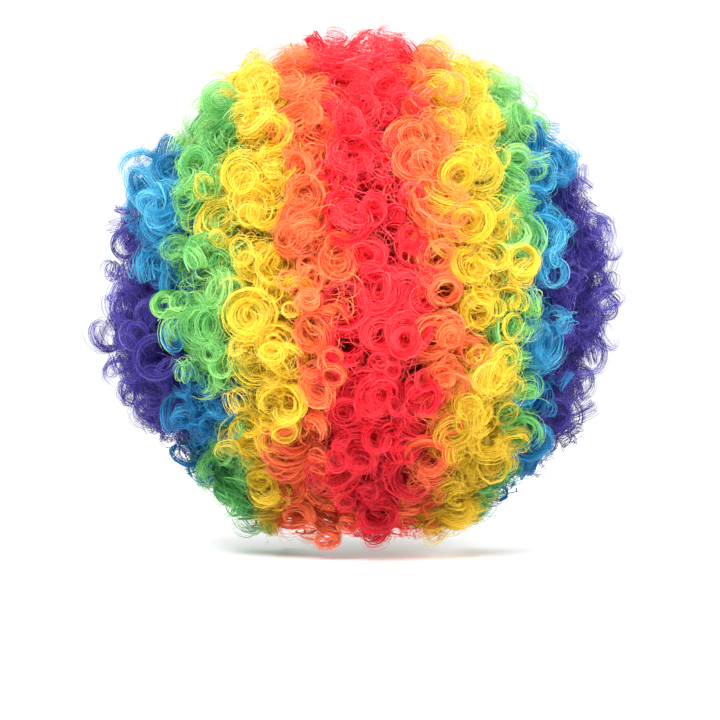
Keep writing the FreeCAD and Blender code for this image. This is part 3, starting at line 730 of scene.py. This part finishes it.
def on_rim(phi, h, off):
    """A point on the cap from its angle round the rim (90 deg is the nape), its
    height above the rim plane and its offset from the head."""
    phi, h, off = np.broadcast_arrays(np.asarray(phi, float), np.asarray(h, float), np.asarray(off, float))
    s = HEAD_S + off[..., None]
    q = RIM_UP * (h - HEAD_C @ RIM_UP)[..., None]
    d = np.cos(phi)[..., None] * E1 + np.sin(phi)[..., None] * E2
    a, b, c = ((d / s) ** 2).sum(-1), (q * d / s**2).sum(-1), ((q / s) ** 2).sum(-1) - 1
    return HEAD_C + q + d * ((-b + np.sqrt(b * b - a * c)) / a)[..., None]


def phi_at(y, h):
    """The angle on the left side at which the rim ring at a height passes y."""
    ph = np.linspace(-math.pi / 2, math.pi / 2, 2001)
    return np.array([np.interp(y, on_rim(ph, k, 0.65)[:, 1], ph) for k in np.atleast_1d(h)])


def side_point(y, z, off):
    s = HEAD_S + off
    x = s[0] * np.sqrt(np.maximum(1 - (y / s[1]) ** 2 - ((z - 30) / s[2]) ** 2, 0))
    return np.stack(np.broadcast_arrays(x, y, z), -1)


def flip(a):
    return a * np.array([-1.0, 1.0, 1.0])


def hem(h, lo, hi):
    """Extra thickness of the folded hems at both edges of a band."""
    return 0.28 * (np.exp(-(((h - lo - 1.1) / 0.9) ** 2)) + np.exp(-(((h - hi + 1.1) / 0.9) ** 2)))


# ------------------------------------------------------------------ rim bands
h = np.concatenate([np.linspace(0, 3, 9), np.linspace(3.8, 16.2, 13), np.linspace(17, 20, 9)])
for name, y, centre in (("front_band", -22.1, -math.pi / 2), ("nape_band", 22.1, math.pi / 2)):
    edge = phi_at(y, h)
    far = 2 * centre - edge - (0 if centre > 0 else 0)
    t = np.linspace(0, 1, 190)[:, None]
    phi = edge[None] * (1 - t) + (math.pi - edge if centre > 0 else -math.pi - edge)[None] * t
    hh = np.broadcast_to(h[None], phi.shape)
    pucker = 0.10 * np.sin(phi * 150) * (np.exp(-(((hh - 2.6) / 1.6) ** 2)) + np.exp(-(((hh - 17.4) / 1.6) ** 2)))
    wave = 0.10 * np.sin(phi * 23 + hh * 0.3) * smooth(2, 8, hh) * smooth(18, 12, hh)
    c = on_rim(phi, hh, 0.65 + pucker + wave)
    sh = Shell()
    sh.slab(c, cap_normal(c), 0.62 + hem(hh, 0, 20))
    sh.make(name + "_cloth", BAND, name, "cap_band")
    sh = Shell()
    for level in (2.6, 17.4):
        ph = np.linspace(edge[0] * 1.0, phi[-1, 0], 500)
        for off in (0.16, 1.14):
            line = on_rim(ph, level, off)
            sh.seam(line[4:-4], cap_normal(line)[4:-4] * (1 if off > 0.6 else -1))
    sh.make(name + "_stitches", THREAD, name, "cap_band")

# ------------------------------------------------------------------- ear tabs
st, ct = math.sin(TILT), math.cos(TILT)
for side, mirrored in (("left", False), ("right", True)):
    sh, sw = Shell(), Shell()
    y = np.linspace(-21.9, 21.9, 60)[:, None]
    hh = np.broadcast_to(h[None], (60, len(h)))
    c = side_point(y, (hh - y * st) / ct, 0.65)
    th = 0.62 + hem(hh, 0, 20)
    panel = flip(c) if mirrored else c
    sh.slab(panel, cap_normal(panel), th)
    # tongue in front of the ear: rounded end, hemmed all round
    u = np.linspace(-1, 1, 33)
    ty = -26 + 12 * np.sin(u * math.pi / 2)
    bottom = -10 - np.sqrt(np.maximum(144 - (ty + 26) ** 2, 0))
    top = (-0.2 - ty * st) / ct
    v = np.linspace(0, 1, 34)[None]
    tz = top[:, None] * (1 - v) + bottom[:, None] * v
    tyy = np.broadcast_to(ty[:, None], tz.shape)
    rim = np.minimum(12 - np.abs(tyy + 26), np.where(tz < -10, 12 - np.hypot(tyy + 26, tz + 10), 12))
    c = side_point(tyy, tz, 0.65)
    th = 0.62 + 0.28 * np.exp(-(((rim - 1.1) / 0.9) ** 2))
    c = flip(c) if mirrored else c
    sh.slab(c, cap_normal(c), th)
    a = np.linspace(0, math.pi, 60)
    ring = np.stack([-26 + 9.4 * np.cos(a), -10 - 9.4 * np.sin(a)], -1)
    leg1 = np.stack([np.full(30, -16.6), np.linspace((-1 + 16.6 * st) / ct, -10, 30)], -1)
    leg2 = np.stack([np.full(40, -35.4), np.linspace(-10, (-1 + 35.4 * st) / ct, 40)], -1)
    path = np.concatenate([leg1, ring[1:-1], leg2])
    yy = np.linspace(-20.5, 20.5, 120)
    lines = [path] + [np.stack([yy, (lv - yy * st) / ct], -1) for lv in (2.6, 17.4)]
    for ln in lines:
        for off in (0.16, 1.14):
            p = side_point(ln[:, 0], ln[:, 1], off)
            p = flip(p) if mirrored else p
            sw.seam(p, cap_normal(p) * (1 if off > 0.6 else -1))
    sh.make("ear_tab_cloth_" + side, BAND, "ear_tab_" + side, "cap_band")
    sw.make("ear_tab_stitches_" + side, THREAD, "ear_tab_" + side, "cap_band")

# ---------------------------------------------------------------- cross tapes
for place, y0 in (("front", -52.0), ("crown", -4.0), ("back", 42.0)):
    yy = y0 + np.linspace(0, 8, 9)
    sm = HEAD_S + 0.65
    k = np.sqrt(1 - (yy / sm[1]) ** 2)
    a0 = np.arcsin(((20.2 - yy * st) / ct - 30) / (sm[2] * k))
    t = np.linspace(0, 1, 150)[:, None]
    al = a0[None] * (1 - t) + (math.pi - a0)[None] * t
    off = 0.65 + 0.07 * np.sin(al * 60)
    c = np.stack(np.broadcast_arrays((77 + off) * k * np.cos(al), yy[None], 30 + (105 + off) * k * np.sin(al)), -1)
    e = np.minimum(yy - y0, y0 + 8 - yy)[None]
    sh = Shell()
    sh.slab(c, cap_normal(c), 0.5 + 0.2 * np.exp(-(((e - 0.5) / 0.6) ** 2)))
    sh.make("cross_tape_cloth_" + place, TAPE, "cross_tape_" + place, "cap_tape")
    sh = Shell()
    for q in (1, 7):
        line = c[2:-2, q] - cap_normal(c[2:-2, q]) * 0.45
        sh.seam(line, -cap_normal(line), pitch=2.8, length=1.9)
    sh.make("cross_tape_stitches_" + place, THREAD, "cross_tape_" + place, "cap_tape")

# -------------------------------------------------------------- nape elastic
hh = np.linspace(0.5, 7.5, 15)
edge = phi_at(30.2, hh)
t = np.linspace(0, 1, 640)[:, None]
phi = edge[None] * (1 - t) + (math.pi - edge)[None] * t
arc = phi * 85
gather = 0.20 * np.sin(arc * 2 * math.pi / 2.3 + 0.5 * np.sin(hh[None] * 0.9)) + 0.06 * np.sin(arc * 2.1)
c = on_rim(phi, np.broadcast_to(hh[None], phi.shape), -0.25 + gather)
sh = Shell()
sh.slab(c, cap_normal(c), 0.55)
sh.make("nape_elastic_cloth", ELASTIC, "nape_elastic", "elastic")
sh = Shell()
for level in (1.7, 6.3):
    ph = np.linspace(phi[3, 0], phi[-4, 0], 400)
    line = on_rim(ph, level, -0.68)
    sh.seam(line, -cap_normal(line), pitch=2.3, length=2.2, zig=0.7)
sh.make("nape_elastic_stitches", THREAD, "nape_elastic", "elastic")

# ------------------------------------------------------------------ care label
lx = np.linspace(-12, 12, 25)[:, None]
lh = np.linspace(20.4, 46.4, 27)[None]


def nape_point(x, level, off):
    """The point at the back of the cap at a sideways place and a level."""
    x, level, off = np.broadcast_arrays(x, level, off)
    s = HEAD_S + off[..., None]
    q = RIM_UP * (level - HEAD_C @ RIM_UP)[..., None] + E1 * x[..., None]
    d = E2
    a, b, c = ((d / s) ** 2).sum(-1), (q * d / s**2).sum(-1), ((q / s) ** 2).sum(-1) - 1
    return HEAD_C + q + d * ((-b + np.sqrt(b * b - a * c)) / a)[..., None]


sag = 0.45 * np.sin((lh - 20.4) / 26 * math.pi) * (0.6 + 0.4 * np.cos(lx / 12 * 2.6)) + 0.12 * np.sin(lx * 0.9 + lh * 0.25)
c = nape_point(lx, lh, -0.15 - sag)
sh = Shell()
sh.slab(c, cap_normal(c), 0.26)
label = sh.make("care_label_satin", SATIN, "care_label", "label_satin")
sh = Shell()
for row, n0 in ((c[:, 1], 0), (c[:, -2], 1)):
    sh.seam(row - cap_normal(row) * 0.22, -cap_normal(row), pitch=2.4, length=1.7, r=0.2)
for row in (c[1], c[-2]):
    sh.seam(row[1:-1] - cap_normal(row[1:-1]) * 0.22, -cap_normal(row[1:-1]), pitch=2.4, length=1.7, r=0.2)
sh.make("care_label_stitches", THREAD, "care_label", "label_satin")

# ------------------------------------------------------------------- the net
bm = bmesh.new()
bmesh.ops.create_icosphere(bm, subdivisions=6, radius=1.0)
bm.verts.ensure_lookup_table()
co = np.array([v.co for v in bm.verts])
tri = np.array([[v.index for v in f.verts] for f in bm.faces])
bm.free()
cen = unit(co[tri].mean(1))
around = [[] for _ in co]
for fi, t3 in enumerate(tri.tolist()):
    for vi in t3:
        around[vi].append(fi)
net_at = lambda d, off: HEAD_C + d * (HEAD_S + off)
V, UV, F = [], [], []
count = 0
for vi in np.where((net_at(co, 1.4) @ RIM_UP) > 1.2)[0]:
    d0 = co[vi]
    x = unit(np.cross(d0, [0.3, 0.5, 0.8]))
    y = np.cross(d0, x)
    cs = cen[around[vi]]
    cs = cs[np.argsort(np.arctan2(cs @ y, cs @ x))]
    k = len(cs)
    inner = cs * 0.885 + d0 * 0.115
    for j in range(k):
        F.append((count + j, count + (j + 1) % k, count + k + (j + 1) % k, count + k + j))
    V.append(net_at(cs, 1.4))
    V.append(net_at(inner, 1.4) - cap_normal(net_at(inner, 1.4)) * 0.12)
    UV.append(np.concatenate([cs, inner]))
    count += 2 * k
V, D = np.concatenate(V), np.concatenate(UV)
low = np.minimum(V @ RIM_UP - 0.2, 0)
V = V - RIM_UP * low[:, None]
me = bpy.data.meshes.new("crown_net_mesh")
me.from_pydata((V * MM).tolist(), [], F)
idx = np.empty(len(me.loops), np.int32)
me.loops.foreach_get("vertex_index", idx)
zz = D @ RIM_UP
flatm = np.stack([D @ E1, D @ E2], -1) / np.sqrt(np.maximum(1 + zz, 0.05))[:, None]
for lname, data in (("OFBake", flatm * 0.44 + 0.5), ("weave", flatm * 95)):
    layer = me.uv_layers.new(name=lname)
    layer.uv.foreach_set("vector", data[idx].astype(np.float32).ravel())
me.shade_smooth()
me.materials.append(NET)
net = bpy.data.objects.new("crown_net_mesh", me)
bpy.context.collection.objects.link(net)
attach(net, "cap")
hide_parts("crown_net")

# --------------------------------------------------------------------- wefts
WEFTS = {"red": (0.0,), "orange": (12.0,), "yellow": (18.6, 23.2), "green": (28.2, 33.0), "blue": (39.8,), "purple": (47.0, 54.5, 62.5, 71.5)}
for cname, lats in WEFTS.items():
    # painted shade: the weft cloth runs between 0.45 of the hair ramp's root stop and its deep stop, both painted-shade
    # colours, with the weave pattern between them
    deep = cloth_material("weft_" + cname, linear(tuple(0.45 * v for v in HAIR[cname][0])), linear(HAIR[cname][1]), 1.2, 0.6, 0.0002)
    for side, sg in (("left", 1), ("right", -1)):
        if cname == "red" and sg < 0:
            continue
        node = "weft_red" if cname == "red" else "weft_%s_%s" % (cname, side)
        sh, sw = Shell(), Shell()
        for lat in (lats if cname != "red" else (0.0, 5.3, -5.3)):
            la = np.radians(lat * sg)
            th = np.radians(np.linspace(-100, 260, 2881))
            d = np.stack([np.full_like(th, math.sin(la)), math.cos(la) * np.cos(th), math.cos(la) * np.sin(th)], -1)
            p = cap_point(d, 2.4)
            ok = np.where(p @ RIM_UP > 1.0)[0]
            p = p[ok[0]:ok[-1]]
            s = np.concatenate([[0], np.cumsum(np.linalg.norm(np.diff(p, axis=0), axis=1))])
            at = np.arange(0, s[-1], 0.73)
            p = np.stack([np.interp(at, s, p[:, k]) for k in range(3)], -1)
            nm = cap_normal(p)
            tg = unit(np.gradient(p, axis=0))
            w = np.cross(nm, tg)
            rib = 0.18 * np.sin(at * 2 * math.pi / 2.2)
            ac = np.array([-1.5, -0.8, 0, 0.8, 1.5])
            c = p[:, None] + w[:, None] * (ac[None, :, None] + 0.25 * np.sin(at * 2.85)[:, None, None]) + nm[:, None] * (rib[:, None] * (1 - (ac[None] / 2) ** 2))[..., None]
            sh.slab(c, np.broadcast_to(nm[:, None], c.shape), 0.75)
            sw.seam(p - nm * 0.52, -nm, pitch=2.2, length=2.6, r=0.2, zig=0.8)
        sh.make("%s_binding" % node, deep, node, "hair_" + cname)
        sw.make("%s_stitches" % node, THREAD, node, "hair_" + cname)

# ------------------------------------------------------------ nape adjusters
LEVEL = 13.5
ph = np.linspace(0.1, math.pi / 2, 4000)
curve = on_rim(ph, LEVEL, 0.3)
s = np.concatenate([[0], np.cumsum(np.linalg.norm(np.diff(curve, axis=0), axis=1))])
s = np.interp(40.0, curve[::-1, 0], s[::-1]) - s      # arc towards the ear from the outermost loop


def adjuster(a):
    """Point, direction towards the ear, across and inward at an arc length."""
    a = np.atleast_1d(a)
    p = np.stack([np.interp(a, s[::-1], curve[::-1, k]) for k in range(3)], -1)
    n = -cap_normal(p, 0.3)
    t = unit(np.cross(-n, RIM_UP))
    t = t * np.sign(t[:, :1])
    return p, t, np.cross(n, t), n


for side, mirrored in (("left", False), ("right", True)):
    turn = flip if mirrored else (lambda q: q)
    # sewn thread loops
    sh = Shell()
    for k in range(3):
        p, t, w, n = (q[0] for q in adjuster(-12.0 * k))
        corner = lambda y, z, a0: [(y + 1.0 * math.cos(b), z + 1.0 * math.sin(b)) for b in np.radians(np.linspace(a0, a0 + 90, 6))]
        path = corner(3.3, 2.0, 0) + corner(-3.3, 2.0, 90) + corner(-3.3, 1.55, 180) + corner(3.3, 1.55, 270)
        path = np.array(path)
        d = unit(np.roll(path, -1, 0) - np.roll(path, 1, 0))
        out = np.stack([d[:, 1], -d[:, 0]], -1)
        xs = np.linspace(-1.35, 1.35, 6)
        c = p + path[:, None, :1] * w + path[:, None, 1:] * n + xs[None, :, None] * t
        nn = np.broadcast_to((out[:, None, :1] * w + out[:, None, 1:] * n), c.shape)
        sh.slab(turn(c), turn(nn), 0.5, closed=True)
    sh.make("hook_loop_cloth_" + side, ELASTIC, "hook_loops_" + side, "cap_band")
    # strap: from its sewn end behind the ear, through the hook's ring and back
    p0, t0, w0, n0 = (q[0] for q in adjuster(0.0))
    far = [(38.0, 0.55), (33.0, 0.6), (28.0, 1.1), (22.0, 2.1), (17.0, 2.9)]
    near = [(12.5, 2.6), (10.3, 2.75), (8.6, 3.05), (7.75, 4.1), (8.6, 5.15), (10.3, 5.4), (12.5, 4.9)]
    back = [(16.0, 4.05), (19.5, 3.45), (22.5, 2.95)]
    pts = []
    for a, z in far:
        p, t, w, n = (q[0] for q in adjuster(a))
        pts.append(p + n * z)
    for a, z in near:
        pts.append(p0 + t0 * a + n0 * z)
    for a, z in back:
        p, t, w, n = (q[0] for q in adjuster(a))
        pts.append(p + n * z)
    pts = np.array(pts)
    kn = np.concatenate([[0], np.cumsum(np.linalg.norm(np.diff(pts, axis=0), axis=1) ** 0.5)])
    q = np.linspace(0, kn[-1], 160)
    line = np.empty((160, 3))
    for seg in range(len(kn) - 1):        # Catmull-Rom through the points
        g = (q >= kn[seg]) & (q <= kn[seg + 1])
        u = ((q[g] - kn[seg]) / (kn[seg + 1] - kn[seg]))[:, None]
        b, c1 = pts[seg], pts[seg + 1]
        a, d1 = pts[max(seg - 1, 0)], pts[min(seg + 2, len(pts) - 1)]
        line[g] = 0.5 * (2 * b + (c1 - a) * u + (2 * a - 5 * b + 4 * c1 - d1) * u**2 + (3 * b - a - 3 * c1 + d1) * u**3)
    tg = unit(np.gradient(line, axis=0))
    wv = unit(w0 - (w0 * tg).sum(-1, keepdims=True) * tg)
    nv = np.cross(tg, wv)
    ys = np.linspace(-3.9, 3.9, 9)
    arc = np.concatenate([[0], np.cumsum(np.linalg.norm(np.diff(line, axis=0), axis=1))])
    rib = 0.05 * np.sin(arc * 2 * math.pi / 1.4)
    c = line[:, None] + wv[:, None] * ys[None, :, None] + nv[:, None] * rib[:, None, None]
    start = turn(adjuster(30.0)[0][0]) * MM
    end = turn(p0 + t0 * 12.0 + n0 * 3.0) * MM
    sh = Shell()
    sh.slab(turn(c), turn(np.broadcast_to(nv[:, None], c.shape)), 0.6)
    strap = sh.make("adjuster_strap_cloth_" + side, ELASTIC, "adjuster_strap_" + side, "elastic", body=None)
    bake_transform(strap)
    # box stitch at the sewn end, bar stitch where the strap is sewn to itself
    sh = Shell()
    for ya, yb, aa, ab in ((-3, 3, 36.5, 36.5), (3, 3, 36.5, 32), (3, -3, 32, 32), (-3, -3, 32, 36.5), (-3, 3, 36.5, 32), (3, -3, 36.5, 32)):
        m = 14
        aq, yq = np.linspace(aa, ab, m), np.linspace(ya, yb, m)
        p, t, w, n = adjuster(aq)
        zq = np.interp(aq, [28, 33, 38], [1.1, 0.6, 0.55]) + 0.38
        sh.seam(turn(p + w * yq[:, None] + n * zq[:, None]), turn(n), pitch=1.5, length=1.2, r=0.2)
    sh.make("adjuster_box_stitch_" + side, THREAD, "adjuster_strap_" + side, "elastic")
    sh = Shell()
    for aq in (19.0, 20.6):
        p, t, w, n = adjuster(np.full(14, aq))
        z = np.interp(aq, [16.0, 19.5, 22.5], [4.05, 3.45, 2.95]) + 0.4
        sh.seam(turn(p + w * np.linspace(-3.2, 3.2, 14)[:, None] + n * z), turn(n), pitch=1.5, length=1.2, r=0.2)
    bar = sh.make("adjuster_bar_stitch_" + side, THREAD, "adjuster_strap_" + side, "elastic", body=None)
    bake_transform(bar)
    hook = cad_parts["adjuster_hook_" + side]
    hook.data.materials.clear()
    hook.data.materials.append(PLASTIC)

# --------------------------------------------------------------------- stage
floor_z = cad_lo[2] - 0.0035
me = bpy.data.meshes.new("floor")
me.from_pydata([(-4, -4, floor_z), (4, -4, floor_z), (4, 4, floor_z), (-4, 4, floor_z)], [], [(0, 1, 2, 3)])
floor = bpy.data.objects.new("floor", me)
bpy.context.collection.objects.link(floor)
m, nt, bsdf = new_material("floor")
bsdf.inputs["Base Color"].default_value = (0.96, 0.96, 0.96, 1)
bsdf.inputs["Roughness"].default_value = 0.9
bsdf.inputs["Specular IOR Level"].default_value = 0.1
me.materials.append(m)

world = bpy.data.worlds.new("studio")
bpy.context.scene.world = world
world.use_nodes = True
world.node_tree.nodes["Background"].inputs[0].default_value = (1, 1, 1, 1)
world.node_tree.nodes["Background"].inputs[1].default_value = 1.05


def area(name, loc, size, power, aim=(0, 0.01, 0.045)):
    d = bpy.data.lights.new(name, "AREA")
    d.shape, d.size, d.energy = "DISK", size, power
    o = bpy.data.objects.new(name, d)
    o.location = loc
    from mathutils import Vector
    o.rotation_euler = (Vector(aim) - Vector(loc)).to_track_quat("-Z", "Y").to_euler()
    bpy.context.collection.objects.link(o)


area("key", (0.28, 1.25, 1.0), 0.7, 34)
area("fill", (-0.9, 1.0, 0.5), 0.9, 12)
area("front", (0.3, -1.3, 0.9), 0.8, 14)

cam = bpy.data.cameras.new("camera")
cam.lens, cam.sensor_width = 100, 36
camera = bpy.data.objects.new("camera", cam)
camera.location = (0.001, 1.152, 0.007)
camera.rotation_euler = (math.radians(90), 0, math.radians(180))
bpy.context.collection.objects.link(camera)
bpy.context.scene.camera = camera
bpy.context.scene.view_settings.view_transform = "Standard"
